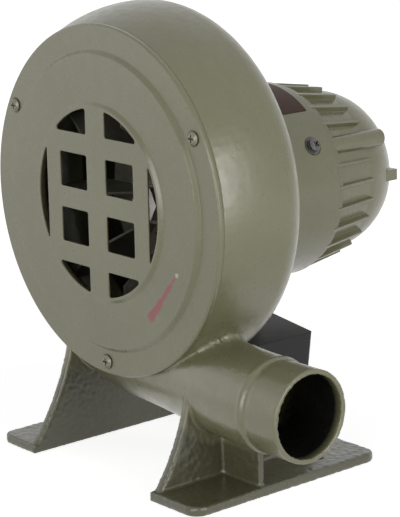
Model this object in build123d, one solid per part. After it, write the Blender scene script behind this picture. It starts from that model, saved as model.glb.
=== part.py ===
from build123d import *
import math
import os

# Electric fire blower: a small cast centrifugal blower for a forge or a charcoal fire.
# Seen from the cover, the outlet points to +X, the motor lies behind at +Y, and +Z is up.
# It is modelled about the cover's centre line (x = 0, along Y) with the floor at z = 0 and the
# cover's rim face at y = 0. At the end it is moved, so that the origin is the middle of its
# footprint on the floor. All sizes are millimetres and all angles are degrees.

# Layout
axis_height = 152.0
shaft_drop = 5.0
cover_thickness = 3.0
scroll_depth = 62.0
motor_pad = 1.0
running_gap = 0.4
slip_gap = 0.3
fit_gap = 0.05

# Scroll casting
cover_radius = 100.0
scroll_wall = 4.0
scroll_start_radius = 101.0
scroll_end_radius = 121.0
scroll_start_angle = -62.0
scroll_end_angle = 270.0
scroll_growth = 1.15
rim_drop_power = 6
scroll_sections = 13
rear_corner = 20.0
rear_corner_power = 2.5
scroll_core = 40.0
chamber_radius = 77.0
chamber_recess = 0.2
front_opening_radius = 84.0
motor_pad_margin = 4.0

# Outlet
taper_end = 120.0
mouth_end = 146.0
mouth_y = 20.5
mouth_height = 56.0
collar_radius = 25.6
collar_step = 1.0
collar_wall = 2.6
taper_power = 5.0
taper_places = [0.0, 0.15, 0.3, 0.5, 0.75, 1.0]
crotch_rises = [(70.0, 9.0), (76.0, 5.0), (80.0, 3.0), (84.0, 1.4), (88.0, 0.4), (93.0, -1.5)]
crotch_inset = 2.5

# Feet
foot_thickness = 5.5
right_foot_width = 38.5
left_foot_width = 33.0
foot_front = -26.0
foot_rear = 111.0
foot_corner = 8.0
foot_edge = 1.5
web_edge = 1.6
web_thickness = 5.5
left_web_inner = -39.6
right_web_inner = 67.5
web_edge_height = 60.0
web_bow = 5.0
rib_y = 24.0
rib_thickness = 3.6
rib_margin = 3.0
foot_hole_radius = 3.5
foot_hole_y = 77.0

# Cover and its grille
cover_step_radius = 85.5
cover_step = 2.4
grille_step_radius = 57.0
grille_step = 1.6
step_slope = 2.0
grille_radius = 53.5
window_inner_x = 8.4
window_outer_x = 33.0
side_window_x = 45.5
window_inner_z = 6.1
window_outer_z = 26.1
end_window_z = 38.0
window_corner = 1.4
cover_screw_circle = 92.5
cover_screw_angles = [30.0, 150.0, 270.0]

# Screws
screw_radius = 2.0
head_radius = 3.9
head_height = 2.4
recess_radius = 4.4
recess_depth = 0.5
cross_length = 4.4
cross_width = 0.9
cross_depth = 1.5
boss_radius = 6.0
boss_depth = 12.0
thread_depth = 9.0

# Motor shell
shell_radius = 58.0
shell_length = 62.5
shell_front_wall = 5.0
shell_wall = 8.5
shell_screw_inset = 9.5
shell_screw_angles = [45.0, 135.0, 225.0, 315.0]
side_screw_angle = 29.0
side_screw_y = 114.0
side_thread = 5.5
side_seat_depth = 0.8
side_seat_margin = 0.4
flat_washer = 0.8
washer_radius = 5.2
spring_washer = 1.1
spring_washer_radius = 4.2
spring_split = 1.0
spring_split_angle = -60.0

# Bearings and shaft
shaft_radius = 6.0
shaft_clearance = 1.5
bearing_radius = 16.0
bearing_width = 10.0
inner_ring_radius = 9.2
outer_ring_radius = 12.8
ball_radius = 2.3
ball_count = 7
bearing_wall = 4.5
front_bearing_y = 70.0
shaft_front = 30.0
washer_thickness = 1.2

# Motor inside
stator_front = 88.0
stator_length = 40.0
rotor_radius = 27.5
slot_count = 12
slot_width = 5.0
slot_lining = 0.4
yoke_thickness = 7.1
tooth_tip = 2.5
coil_length = 10.0
coil_inner = 34.0
coil_inset = 5.5

# End bell
bell_step = 4.5
bell_draft = 4.5
bell_side_length = 34.0
bell_end_face = 12.0
bell_end_length = 38.5
bell_wall = 4.0
bell_lip = 4.0
fin_front_height = 4.0
fin_rear_height = 3.5
fin_thickness = 1.9
fins_between_bosses = 8
bell_screw_angle = 28.5
bell_screw_count = 3
bell_screw_inset = 6.0
bell_boss_radius = 5.2
bell_boss_length = 44.0
lug_size = 6.5
lug_inset = 4.0
lug_length = 9.0
lug_from_end = 12.0

# Impeller
impeller_radius = 72.0
impeller_plate_radius = 60.0
impeller_plate_thickness = 1.5
impeller_plate_y = 55.5
hub_radius = 13.0
hub_front = 36.0
hub_flange = 3.0
hub_flange_radius = 20.0
blade_count = 8
blade_thickness = 1.5
blade_front = 14.0
blade_root_height = 10.0
blade_tip_length = 26.0
blade_tab = 9.0
blade_root_radius = 22.0
rivet_radius = 2.4
rivet_head = 1.3
rivet_tail = 1.0
rivet_circles = [33.0, 52.0]
nut_flats = 19.0
nut_thickness = 5.0
nut_washer = 1.5
nut_washer_radius = 10.0

# Nameplate on the shell
plate_thickness = 0.5
plate_angles = [52.0, 86.0]
plate_front = 74.0
plate_rear = 123.0

# Switch box, in its own tilted frame about the shaft line
box_tilt = 7.6
box_left = -15.0
box_right = 53.5
box_front = 72.0
box_rear = 120.5
box_drop = 21.0
box_height = 40.0
box_wall = 2.2
box_corner = 2.0
post_size = 8.0
neck_left = -10.0
neck_right = 20.0
neck_front = 76.0
neck_rear = 108.0
lead_hole_radius = 4.5
lead_hole_y = 85.0
lead_radius = 1.0
lead_spacing = 2.4
lead_tail = 14.0
neck_screw_spacing = 18.0
neck_screw_y = 98.0
capacitor_radius = 11.0
capacitor_length = 36.0
strip_ways = 3
strip_pitch = 8.0
strip_size = 9.0
strip_well_radius = 2.2
rocker_width = 9.6
rocker_radius = 9.0
rocker_swing = 10.0
bezel_thickness = 1.6
bezel_lip = 1.5
gland_thread_radius = 5.0
gland_bore_radius = 3.0

# Heights and places that follow from the sizes above
shaft_height = axis_height - shaft_drop
housing_front = cover_thickness
housing_rear = housing_front + scroll_depth
scroll_middle = housing_front + scroll_depth / 2
tube_radius = scroll_depth / 2
shell_front = housing_rear + motor_pad
shell_rear = shell_front + shell_length
side_seat = shell_radius - side_seat_depth
motor_pad_radius = shell_radius + motor_pad_margin
stator_radius = shell_radius - shell_wall
shell_screw_circle = stator_radius - shell_screw_inset
slot_depth = stator_radius - yoke_thickness - tooth_tip - running_gap - rotor_radius
coil_outer = stator_radius - coil_inset
bell_front_radius = shell_radius - bell_step
bell_rear_radius = bell_front_radius - bell_draft
fin_front_tip = bell_front_radius + fin_front_height
fin_rear_tip = bell_rear_radius + fin_rear_height
bell_screw_circle = shell_radius - bell_screw_inset
lug_radius = bell_rear_radius - lug_inset
box_top = -(shell_radius + box_drop)
chamber_rear = housing_rear - scroll_wall
chamber_front = chamber_rear - chamber_recess
bell_shoulder = shell_rear + bell_side_length
bell_end = bell_shoulder + bell_end_length
rear_bearing_y = bell_end - bell_wall - 2 * washer_thickness - bearing_width
shaft_rear = rear_bearing_y + bearing_width


def polar(radius, angle, centre_height=axis_height):
    """x and z of a point at an angle about a line along Y."""
    turn = math.radians(angle)
    return radius * math.cos(turn), centre_height + radius * math.sin(turn)


def rod(radius, start, end, x=0.0, z=axis_height):
    """A round bar along Y."""
    ends = Plane(origin=(x, start, z), x_dir=(1, 0, 0), z_dir=(0, 1, 0))
    return ends * Cylinder(radius, end - start, align=(Align.CENTER, Align.CENTER, Align.MIN))


def ring(outer, inner, start, end, x=0.0, z=axis_height):
    """A round ring along Y."""
    return rod(outer, start, end, x, z) - rod(inner, start - 1, end + 1, x, z)


def block(x_range, y_range, z_range):
    """A box between two corners."""
    size = [high - low for low, high in (x_range, y_range, z_range)]
    middle = [(high + low) / 2 for low, high in (x_range, y_range, z_range)]
    return Pos(*middle) * Box(*size)


def turned(outline, z=axis_height):
    """A closed outline of (radius, y) points, turned about the line along Y at height z."""
    face = make_face(Polyline(*outline, close=True))
    return Pos(0, 0, z) * revolve(face, Axis.Y)


def radial_plane(angle):
    """The half plane at an angle about the cover's centre line: its own x is radius, its y is Y."""
    turn = math.radians(angle)
    outwards = (math.cos(turn), 0, math.sin(turn))
    sideways = (-math.sin(turn), 0, math.cos(turn))
    return Plane(origin=(0, 0, axis_height), x_dir=outwards, z_dir=sideways)


def about_shaft(piece, angle):
    """A piece turned about the shaft line, anticlockwise as seen from the cover."""
    return piece.rotate(Axis((0, 0, shaft_height), (0, -1, 0)), angle)


# Scroll casting


def scroll_section(angle, inset, core_radius):
    """Cross-section of the scroll at an angle, drawn in by inset all round."""
    share = (angle - scroll_start_angle) / (scroll_end_angle - scroll_start_angle)
    growth = scroll_end_radius - scroll_start_radius
    reach = scroll_start_radius + growth * share ** scroll_growth
    rim = cover_radius - slip_gap
    rim_drop = rim - (scroll_end_radius - tube_radius)
    front_reach = rim - rim_drop * share ** rim_drop_power
    corner = rear_corner + (tube_radius - rear_corner) * share ** rear_corner_power
    widest = (reach - inset, housing_rear - corner)
    front_edge = (front_reach - inset, housing_front + inset)
    rear_edge = (reach - corner, housing_rear - inset)
    front_core = (core_radius, housing_front + inset)
    rear_core = (core_radius, housing_rear - inset)
    edges = [
        Line(front_core, front_edge),
        TangentArc(widest, front_edge, tangent=(0, -1)),
        TangentArc(widest, rear_edge, tangent=(0, 1)),
        Line(rear_edge, rear_core),
        Line(rear_core, front_core),
    ]
    return radial_plane(angle) * make_face(edges)


def scroll_body(inset, core_radius):
    """The scroll as one smooth loft through sections that grow towards the outlet."""
    step = (scroll_end_angle - scroll_start_angle) / (scroll_sections - 1)
    angles = [scroll_start_angle + step * k for k in range(scroll_sections)]
    return loft([scroll_section(angle, inset, core_radius) for angle in angles])


def duct_circle(place, inset, end_radius):
    """y, z and radius of the duct at a share of its length: it sinks fast, then turns forward."""
    narrowing = 1 - (1 - place) ** taper_power
    sideways = place ** 2 * (3 - 2 * place)
    start_height = axis_height - scroll_end_radius + tube_radius
    y = scroll_middle + (mouth_y - scroll_middle) * sideways
    z = start_height + (mouth_height - start_height) * narrowing
    radius = tube_radius - inset + (end_radius - tube_radius + inset) * narrowing
    return y, z, radius


def outlet_taper(inset, end_radius):
    """The round duct that runs from under the scroll to the collar and narrows on its way."""
    circles = []
    for place in taper_places:
        y, z, radius = duct_circle(place, inset, end_radius)
        circles.append(Plane(origin=(taper_end * place, y, z), z_dir=(1, 0, 0)) * Circle(radius))
    return loft(circles)


def crotch_fill():
    """The casting's fillet in the crotch where the scroll runs down into the top of the duct."""
    sections = []
    for x, rise in crotch_rises:
        y, z, radius = duct_circle(x / taper_end, 0.0, collar_radius + collar_step)
        lift = rise / 2 + 1
        plane = Plane(origin=(x, y, z + lift), x_dir=(0, 1, 0), z_dir=(1, 0, 0))
        sections.append(plane * Ellipse(radius - crotch_inset - rise / 3, radius + rise - lift))
    return loft(sections)


def outlet_bar(radius, start, end):
    """A round bar along the outlet's straight collar."""
    plane = Plane(origin=(start, mouth_y, mouth_height), z_dir=(1, 0, 0))
    return plane * Cylinder(radius, end - start, align=(Align.CENTER, Align.CENTER, Align.MIN))


def foot(inner_face, width, side):
    """A foot plate that points to one side, with its web and its rib."""
    outer_face = inner_face + side * width
    low_x, high_x = sorted((inner_face, outer_face))
    plate = block((low_x, high_x), (foot_front, foot_rear), (0, foot_thickness))
    outer_corners = plate.edges().filter_by(Axis.Z).group_by(Axis.X)[-1 if side > 0 else 0]
    plate = fillet(outer_corners, foot_corner)
    rims = plate.faces().sort_by(Axis.Z)[0].edges() + plate.faces().sort_by(Axis.Z)[-1].edges()
    plate = fillet([edge for edge in rims if abs(edge.center().X - inner_face) > 1], foot_edge)
    hole_x = inner_face + side * (width + web_thickness) / 2
    plate -= Pos(hole_x, foot_hole_y, 0) * Cylinder(foot_hole_radius, 3 * foot_thickness)
    return plate + web(inner_face, side) + rib(inner_face, width, side)


def web(inner_face, side):
    """The upright wall of a foot: its front and rear edges bow in as they rise to the scroll."""
    under_duct = side > 0
    web_top = mouth_height if under_duct else axis_height - cover_radius / 2
    edge_top = min(web_edge_height, web_top - 1.0)
    rise = edge_top - foot_thickness
    top_front = mouth_y - collar_radius + 4.0 if under_duct else housing_front + 1.0
    top_rear = mouth_y + collar_radius - 4.0 if under_duct else housing_rear - 1.0
    front_middle = ((foot_front + top_front) / 2 + web_bow, foot_thickness + rise / 2)
    rear_middle = ((foot_rear + top_rear) / 2 - web_bow, foot_thickness + rise / 2)
    low_front = foot_front + foot_edge
    low_rear = foot_rear - foot_edge
    edges = [
        Line((low_front, foot_edge), (low_front, foot_thickness - foot_edge)),
        ThreePointArc((low_front, foot_thickness - foot_edge), front_middle, (top_front, edge_top)),
        Line((top_front, edge_top), (top_front, web_top)),
        Line((top_front, web_top), (top_rear, web_top)),
        Line((top_rear, web_top), (top_rear, edge_top)),
        ThreePointArc((top_rear, edge_top), rear_middle, (low_rear, foot_thickness - foot_edge)),
        Line((low_rear, foot_thickness - foot_edge), (low_rear, foot_edge)),
        Line((low_rear, foot_edge), (low_front, foot_edge)),
    ]
    outline = Plane(origin=(inner_face, 0, 0), x_dir=(0, 1, 0), z_dir=(1, 0, 0)) * make_face(edges)
    wall = extrude(outline, side * web_thickness)
    return fillet(wall.edges().filter_by(GeomType.CIRCLE), web_edge)


def rib(inner_face, width, side):
    """The cross rib that props the casting up from the foot plate."""
    outer_face = inner_face + side * (width - rib_margin)
    low_x, high_x = sorted((inner_face, outer_face))
    rib_top = mouth_height if side > 0 else axis_height - cover_radius / 2
    rib_range = (rib_y - rib_thickness / 2, rib_y + rib_thickness / 2)
    return block((low_x, high_x), rib_range, (0, rib_top))


def cover_screw_places():
    return [polar(cover_screw_circle, angle) for angle in cover_screw_angles]


def make_volute_housing():
    """The scroll, the outlet and both feet, cast as one piece."""
    scroll = scroll_body(0.0, scroll_core)
    duct = outlet_taper(0.0, collar_radius + collar_step)
    collar = outlet_bar(collar_radius, taper_end, mouth_end)
    back = rod(motor_pad_radius, chamber_rear - 1, housing_rear + motor_pad, z=shaft_height)
    feet = foot(right_web_inner, right_foot_width, 1) + foot(left_web_inner, left_foot_width, -1)
    bore = outlet_bar(collar_radius - collar_wall, taper_end, mouth_end + 1)
    duct_room = outlet_taper(scroll_wall, collar_radius - collar_wall)
    scroll_room = scroll_body(scroll_wall, scroll_core + scroll_wall) - duct
    impeller_room = rod(chamber_radius, housing_front - 1, chamber_front, z=shaft_height)
    opening = rod(front_opening_radius, housing_front - 1, housing_front + 2 * scroll_wall)
    casting = scroll + duct + collar + back + crotch_fill() + feet
    casting -= scroll_room
    casting -= duct_room + bore
    casting -= impeller_room
    casting -= opening - duct
    casting -= rod(cover_radius + slip_gap, mouth_y - 2 * collar_radius, housing_front)
    for x, z in cover_screw_places():
        casting += rod(boss_radius, housing_front + 1, housing_front + boss_depth, x, z) - impeller_room
        casting -= rod(screw_radius, housing_front - 1, housing_front + thread_depth, x, z)
    casting -= rod(shaft_radius + shaft_clearance, chamber_rear - 2, housing_rear + 2, z=shaft_height)
    for angle in shell_screw_angles:
        x, z = polar(shell_screw_circle, angle, shaft_height)
        casting -= rod(screw_radius + fit_gap, chamber_rear - 2, housing_rear + 2, x, z)
    return casting


# Cover


def window_sketch():
    """The ten windows of the grille: four squares, four segments and two slim lenses."""
    windows = Sketch()
    disc = Circle(grille_radius)
    half_plane = Rectangle(2 * grille_radius, 4 * grille_radius)
    for side_x in (-1, 1):
        for side_z in (-1, 1):
            middle_x = side_x * (window_inner_x + window_outer_x) / 2
            middle_z = side_z * (window_inner_z + window_outer_z) / 2
            width = window_outer_x - window_inner_x
            height = window_outer_z - window_inner_z
            square = Pos(middle_x, middle_z) * Rectangle(width, height)
            windows += fillet(square.vertices(), window_corner)
            beyond_x = Pos(side_x * (window_inner_x + grille_radius), 0) * half_plane
            beyond_z = Pos(0, side_z * (end_window_z + grille_radius)) * half_plane.rotate(Axis.Z, 90)
            segment = disc & beyond_x & beyond_z
            windows += fillet(segment.vertices(), window_corner)
        beyond = Pos(side_x * (side_window_x + grille_radius), 0) * half_plane
        lens = disc & beyond
        windows += fillet(lens.vertices(), window_corner / 2)
    return windows


def make_front_cover():
    """A stepped disc with the intake grille in its middle."""
    ring_face = 0.0
    step_face = -cover_step
    grille_face = -cover_step - grille_step
    back = cover_thickness
    outline = [
        (0, grille_face),
        (grille_step_radius - step_slope, grille_face),
        (grille_step_radius, step_face),
        (cover_step_radius - step_slope, step_face),
        (cover_step_radius, ring_face),
        (cover_radius - 0.8, ring_face),
        (cover_radius, ring_face + 0.8),
        (cover_radius, back),
        (front_opening_radius - slip_gap, back),
        (front_opening_radius - slip_gap - step_slope, step_face + cover_thickness),
        (grille_step_radius - step_slope, step_face + cover_thickness),
        (grille_step_radius - 2 * step_slope, grille_face + cover_thickness),
        (0, grille_face + cover_thickness),
    ]
    cover = turned(outline)
    face = Plane(origin=(0, grille_face - 1, axis_height), x_dir=(1, 0, 0), z_dir=(0, -1, 0))
    cover -= extrude(face * window_sketch(), -(cover_thickness + 3))
    for x, z in cover_screw_places():
        cover -= rod(recess_radius, -1, recess_depth, x, z)
        cover -= rod(screw_radius + fit_gap, -1, cover_thickness + 1, x, z)
    return cover


def pan_screw(x, z, seat, length, toward=1):
    """A pan-head screw along Y: its head sits in front of the seat, toward 1 points to the rear."""
    head_start, head_end = sorted((seat - toward * head_height, seat))
    shank_start, shank_end = sorted((seat, seat + toward * length))
    head = rod(head_radius, head_start, head_end, x, z)
    crown_face = head.faces().sort_by(Axis.Y)[0 if toward > 0 else -1]
    head = chamfer(crown_face.edges(), head_height / 2)
    crown = seat - toward * head_height
    recess = block((x - cross_length / 2, x + cross_length / 2),
                   sorted((crown - toward, crown + toward * cross_depth)),
                   (z - cross_width / 2, z + cross_width / 2))
    recess += recess.rotate(Axis((x, 0, z), (0, 1, 0)), 90)
    return head + rod(screw_radius, shank_start, shank_end, x, z) - recess


def make_cover_screws():
    length = cover_thickness - recess_depth + thread_depth - 1
    return [pan_screw(x, z, recess_depth, length) for x, z in cover_screw_places()]


# Motor shell


def in_box_frame(piece):
    """Place a piece of the switch box: its frame hangs from the shaft line at a small tilt."""
    return Pos(0, 0, shaft_height) * (Rot(0, box_tilt, 0) * piece)


def neck_screw_places():
    middle = (neck_left + neck_right) / 2
    return [(middle + side * neck_screw_spacing / 2, neck_screw_y) for side in (-1, 1)]


def lead_hole(low, high):
    """The way for the leads, from the shell's inside down through its neck into the box."""
    return in_box_frame(upright(lead_hole_radius, (neck_left + neck_right) / 2, lead_hole_y, low, high))


def side_screw_frame():
    """The line of the shell's side screw: its own z points out of the shell."""
    turn = math.radians(side_screw_angle)
    outwards = (math.cos(turn), 0, math.sin(turn))
    return Plane(origin=(0, side_screw_y, shaft_height), x_dir=(0, 1, 0), z_dir=outwards)


def make_motor_shell():
    """The ring that carries the stator, with the front bearing in its end wall."""
    boss_outer = bearing_radius + bearing_wall
    bearing_rear = front_bearing_y + bearing_width
    inside_wall = shell_front + shell_front_wall
    outline = [
        (shaft_radius + 1.0, shell_front),
        (shell_radius - 1.0, shell_front),
        (shell_radius, shell_front + 1.0),
        (shell_radius, shell_rear),
        (stator_radius, shell_rear),
        (stator_radius, inside_wall),
        (boss_outer, inside_wall),
        (boss_outer, bearing_rear),
        (bearing_radius, bearing_rear),
        (bearing_radius, front_bearing_y),
        (shaft_radius + 1.0, front_bearing_y),
    ]
    shell = turned(outline, shaft_height)
    neck = block((neck_left, neck_right), (neck_front, neck_rear), (box_top, -stator_radius - 4))
    shell += in_box_frame(neck)
    shell -= lead_hole(box_top - 1, -stator_radius + 2)
    for x, y in neck_screw_places():
        shell -= in_box_frame(upright(screw_radius, x, y, box_top - 1, box_top + thread_depth))
    for angle in shell_screw_angles:
        x, z = polar(shell_screw_circle, angle, shaft_height)
        shell -= rod(screw_radius, shell_front - 1, shell_front + shell_front_wall + 1, x, z)
    for k in range(bell_screw_count):
        x, z = polar(bell_screw_circle, bell_screw_angle + 360 * k / bell_screw_count, shaft_height)
        shell -= rod(screw_radius, shell_rear - thread_depth, shell_rear + 1, x, z)
    side_hole = upright(screw_radius, 0, 0, side_seat - side_thread - 1, shell_radius + 1)
    spot_face = upright(washer_radius + side_seat_margin, 0, 0, side_seat, shell_radius + 1)
    return shell - side_screw_frame() * (side_hole + spot_face)


def make_shell_screws():
    """Screws from inside the scroll that hold the motor to its back wall."""
    length = housing_rear - chamber_front + motor_pad + shell_front_wall - slip_gap
    places = [polar(shell_screw_circle, angle, shaft_height) for angle in shell_screw_angles]
    return [pan_screw(x, z, chamber_front, length) for x, z in places]


def side_washer(radius, start, end):
    """A washer on the side screw's line, between two distances from the shaft line."""
    return upright(radius, 0, 0, start, end) - upright(screw_radius + fit_gap, 0, 0, start - 1, end + 1)


def make_side_washers():
    """A flat washer, and on it a spring washer that is split on one side."""
    spring_start = side_seat + flat_washer
    spring_end = spring_start + spring_washer
    flat = side_washer(washer_radius, side_seat, spring_start)
    spring = side_washer(spring_washer_radius, spring_start, spring_end)
    split = block((0, washer_radius), (-spring_split / 2, spring_split / 2),
                  (spring_start - 1, spring_end + 1))
    spring -= Rot(0, 0, spring_split_angle) * split
    return [side_screw_frame() * flat, side_screw_frame() * spring]


def make_side_screw():
    head_start = side_seat + flat_washer + spring_washer
    crown = head_start + head_height
    head = upright(head_radius, 0, 0, head_start, crown)
    head = chamfer(head.faces().sort_by(Axis.Z)[-1].edges(), head_height / 2)
    shank = upright(screw_radius, 0, 0, side_seat - side_thread, head_start)
    slot = block((-cross_length / 2, cross_length / 2), (-cross_width / 2, cross_width / 2),
                 (crown - cross_depth, crown + 1))
    slot += Rot(0, 0, 90) * slot
    return side_screw_frame() * (Rot(0, 0, 45) * (head + shank - slot))


def make_nameplate():
    """A thin sheet bent round the top of the shell. Nothing is written on it."""
    inner = shell_radius
    outer = shell_radius + plate_thickness
    sheet = ring(outer, inner, plate_front, plate_rear, z=shaft_height)
    middle_angle = sum(plate_angles) / 2
    half = math.radians(plate_angles[1] - plate_angles[0]) / 2
    reach = 2 * outer
    wedge = Polyline((0, 0), (reach * math.cos(half), reach * math.sin(half)),
                     (reach * math.cos(half), -reach * math.sin(half)), close=True)
    ends = Plane(origin=(0, plate_front - 1, shaft_height), x_dir=(1, 0, 0), z_dir=(0, -1, 0))
    sector = extrude(ends * make_face(wedge), -(plate_rear - plate_front + 2))
    return sheet & about_shaft(sector, middle_angle)


# Motor inside


def make_stator_core():
    """A stack of laminations with slots that open to the bore."""
    bore = rotor_radius + running_gap
    rear = stator_front + stator_length
    core = ring(stator_radius, bore, stator_front, rear, z=shaft_height)
    slot_start = bore + tooth_tip
    slot = block((slot_start, slot_start + slot_depth), (stator_front - 1, rear + 1),
                 (shaft_height - slot_width / 2, shaft_height + slot_width / 2))
    mouth = block((bore - 2, slot_start + 1), (stator_front - 1, rear + 1),
                  (shaft_height - 1.0, shaft_height + 1.0))
    for k in range(slot_count):
        core -= about_shaft(slot + mouth, 360 * k / slot_count)
    return core


def make_stator_windings():
    """Two rings of end turns and the slot fillings between them, as one wound coil."""
    rear = stator_front + stator_length
    front_turns = ring(coil_outer, coil_inner, stator_front - coil_length, stator_front, z=shaft_height)
    rear_turns = ring(coil_outer, coil_inner, rear, rear + coil_length, z=shaft_height)
    start = coil_inner - slot_lining
    half_width = slot_width / 2 - slot_lining
    bar = block((start, stator_radius - yoke_thickness - slot_lining), (stator_front - 1, rear + 1),
                (shaft_height - half_width, shaft_height + half_width))
    windings = front_turns + rear_turns
    for k in range(slot_count):
        windings += about_shaft(bar, 360 * k / slot_count)
    return windings


def make_rotor_core():
    return ring(rotor_radius, shaft_radius, stator_front, stator_front + stator_length, z=shaft_height)


def make_shaft():
    """The shaft, with a seat for the impeller and its nut at the front."""
    bar = rod(shaft_radius, shaft_front, shaft_rear, z=shaft_height)
    return chamfer(bar.edges().filter_by(GeomType.CIRCLE), 0.8)


def bearing_outer(start):
    end = start + bearing_width
    return ring(bearing_radius, outer_ring_radius, start, end, z=shaft_height) - ball_groove(start)


def bearing_inner(start):
    end = start + bearing_width
    return ring(inner_ring_radius, shaft_radius, start, end, z=shaft_height) - ball_groove(start)


def ball_circle():
    return (inner_ring_radius + outer_ring_radius) / 2


def ball_groove(start):
    middle = Plane(origin=(0, start + bearing_width / 2, shaft_height), z_dir=(0, 1, 0))
    return middle * Torus(ball_circle(), ball_radius + slip_gap)


def bearing_balls(start):
    balls = []
    for k in range(ball_count):
        x, z = polar(ball_circle(), 360 * k / ball_count, shaft_height)
        balls.append(Pos(x, start + bearing_width / 2, z) * Sphere(ball_radius))
    return balls


def make_wave_washer():
    """The springy washer that takes up the play behind the rear bearing."""
    start = rear_bearing_y + bearing_width
    end = start + 2 * washer_thickness
    return ring(bearing_radius - 0.5, outer_ring_radius - 1.5, start, end, z=shaft_height)


# End bell


def bell_solid(inset, start):
    """The bell's body, drawn in by inset: a side with casting draft, then an oval dome."""
    front = bell_front_radius - inset
    rear = bell_rear_radius - inset
    end = bell_end - inset
    dome = EllipticalCenterArc((bell_end_face, bell_shoulder), rear - bell_end_face, end - bell_shoulder)
    edges = [
        Line((0, start), (front, start)),
        Line((front, start), (rear, bell_shoulder)),
        dome,
        Line((bell_end_face, end), (0, end)),
        Line((0, end), (0, start)),
    ]
    return Pos(0, 0, shaft_height) * revolve(make_face(edges), Axis.Y)


def cooling_fin():
    """One fin, drawn at angle zero: its tip follows the bell's draft."""
    root = bell_rear_radius - bell_wall / 2
    outline = Polyline((root, shell_rear), (fin_front_tip, shell_rear), (fin_rear_tip, bell_shoulder),
                       (root, bell_shoulder), close=True)
    plane = Plane(origin=(0, 0, shaft_height - fin_thickness / 2))
    return extrude(plane * make_face(outline), fin_thickness)


def make_end_bell():
    """The finned rear casting, with a bearing seat inside and three screw bosses outside."""
    bell = bell_solid(0.0, shell_rear)
    bell += rod(shell_radius - 1.5, shell_rear, shell_rear + bell_lip, z=shaft_height)
    fin_angles = fin_places()
    fin = cooling_fin()
    for angle in fin_angles:
        bell += about_shaft(fin, angle)
    for k in range(bell_screw_count):
        angle = bell_screw_angle + 360 * k / bell_screw_count
        x, z = polar(bell_screw_circle, angle, shaft_height)
        bell += rod(bell_boss_radius, shell_rear, shell_rear + bell_boss_length, x, z)
    lug_end = bell_end - lug_from_end
    bell += block((lug_radius - 12, lug_radius), (lug_end - lug_length, lug_end),
                  (shaft_height - lug_size / 2, shaft_height + lug_size / 2))
    hollow = bell_solid(bell_wall, shell_rear - 1)
    bell -= hollow
    seat_end = shaft_rear + 2 * washer_thickness
    seat = rod(bearing_radius + bearing_wall, rear_bearing_y, bell_end - 1, z=shaft_height)
    bell += seat & bell_solid(0.5, shell_rear)
    bell -= rod(bearing_radius, rear_bearing_y - 1, seat_end, z=shaft_height)
    for k in range(bell_screw_count):
        angle = bell_screw_angle + 360 * k / bell_screw_count
        x, z = polar(bell_screw_circle, angle, shaft_height)
        bell -= rod(screw_radius + fit_gap, shell_rear - 1, shell_rear + bell_boss_length + 1, x, z)
        bell -= rod(head_radius + slip_gap, shell_rear + bell_boss_length, bell_end, x, z)
    return bell


def fin_places():
    """Angles of the fins: evenly spread between the screw bosses."""
    pitch = 360 / (bell_screw_count * (fins_between_bosses + 1))
    angles = []
    for k in range(bell_screw_count * (fins_between_bosses + 1)):
        if k % (fins_between_bosses + 1):
            angles.append(bell_screw_angle + pitch * k)
    return angles


def make_bell_screws():
    seat = shell_rear + bell_boss_length
    length = bell_boss_length + thread_depth - 1
    screws = []
    for k in range(bell_screw_count):
        x, z = polar(bell_screw_circle, bell_screw_angle + 360 * k / bell_screw_count, shaft_height)
        screws.append(pan_screw(x, z, seat, length, toward=-1))
    return screws


# Impeller


def make_impeller_hub():
    """The hub that carries the plate: a sleeve with a flange at its rear end."""
    rear = impeller_plate_y
    sleeve = ring(hub_radius, shaft_radius, hub_front, rear, z=shaft_height)
    return sleeve + ring(hub_flange_radius, shaft_radius, rear - hub_flange, rear, z=shaft_height)


def rivet_places():
    places = []
    for k in range(blade_count):
        for radius in rivet_circles:
            places.append((radius, 360 * k / blade_count))
    return places


def make_impeller_plate():
    end = impeller_plate_y + impeller_plate_thickness
    plate = ring(impeller_plate_radius, shaft_radius + fit_gap, impeller_plate_y, end, z=shaft_height)
    for radius, angle in rivet_places():
        hole = rod(rivet_radius / 2, impeller_plate_y - 1, end + 1, radius, shaft_height + blade_tab / 2)
        plate -= about_shaft(hole, angle)
    return plate


def make_impeller_blades():
    """Straight blades with a bent tab that is riveted to the plate."""
    back = impeller_plate_y
    outline = Polyline((blade_root_radius, back), (blade_root_radius, back - blade_root_height),
                       (impeller_radius - blade_tip_length, blade_front), (impeller_radius, blade_front),
                       (impeller_radius, back), close=True)
    side = Plane(origin=(0, 0, shaft_height), x_dir=(1, 0, 0), z_dir=(0, 0, 1))
    sheet = extrude(side * make_face(outline), -blade_thickness)
    tab = block((blade_root_radius + 2, impeller_plate_radius - 1), (back - blade_thickness, back),
                (shaft_height - blade_thickness, shaft_height + blade_tab))
    blade = sheet + tab
    for radius in rivet_circles:
        blade -= rod(rivet_radius / 2, back - 5, back + 1, radius, shaft_height + blade_tab / 2)
    return [about_shaft(blade, 360 * k / blade_count) for k in range(blade_count)]


def make_impeller_rivets():
    front = impeller_plate_y - blade_thickness
    rear = impeller_plate_y + impeller_plate_thickness
    rivets = []
    for radius, angle in rivet_places():
        z = shaft_height + blade_tab / 2
        body = rod(rivet_radius / 2, front, rear, radius, z)
        front_head = rod(rivet_radius, front - rivet_head, front, radius, z)
        rear_head = rod(rivet_radius, rear, rear + rivet_tail, radius, z)
        rivets.append(about_shaft(body + front_head + rear_head, angle))
    return rivets


def make_impeller_washer():
    return ring(nut_washer_radius, shaft_radius, hub_front - nut_washer, hub_front, z=shaft_height)


def make_impeller_nut():
    start = hub_front - nut_washer - nut_thickness
    plane = Plane(origin=(0, start, shaft_height), x_dir=(1, 0, 0), z_dir=(0, 1, 0))
    prism = extrude(plane * RegularPolygon(nut_flats / 2, 6, major_radius=False), nut_thickness)
    return prism - rod(shaft_radius, start - 1, hub_front, z=shaft_height)


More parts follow.
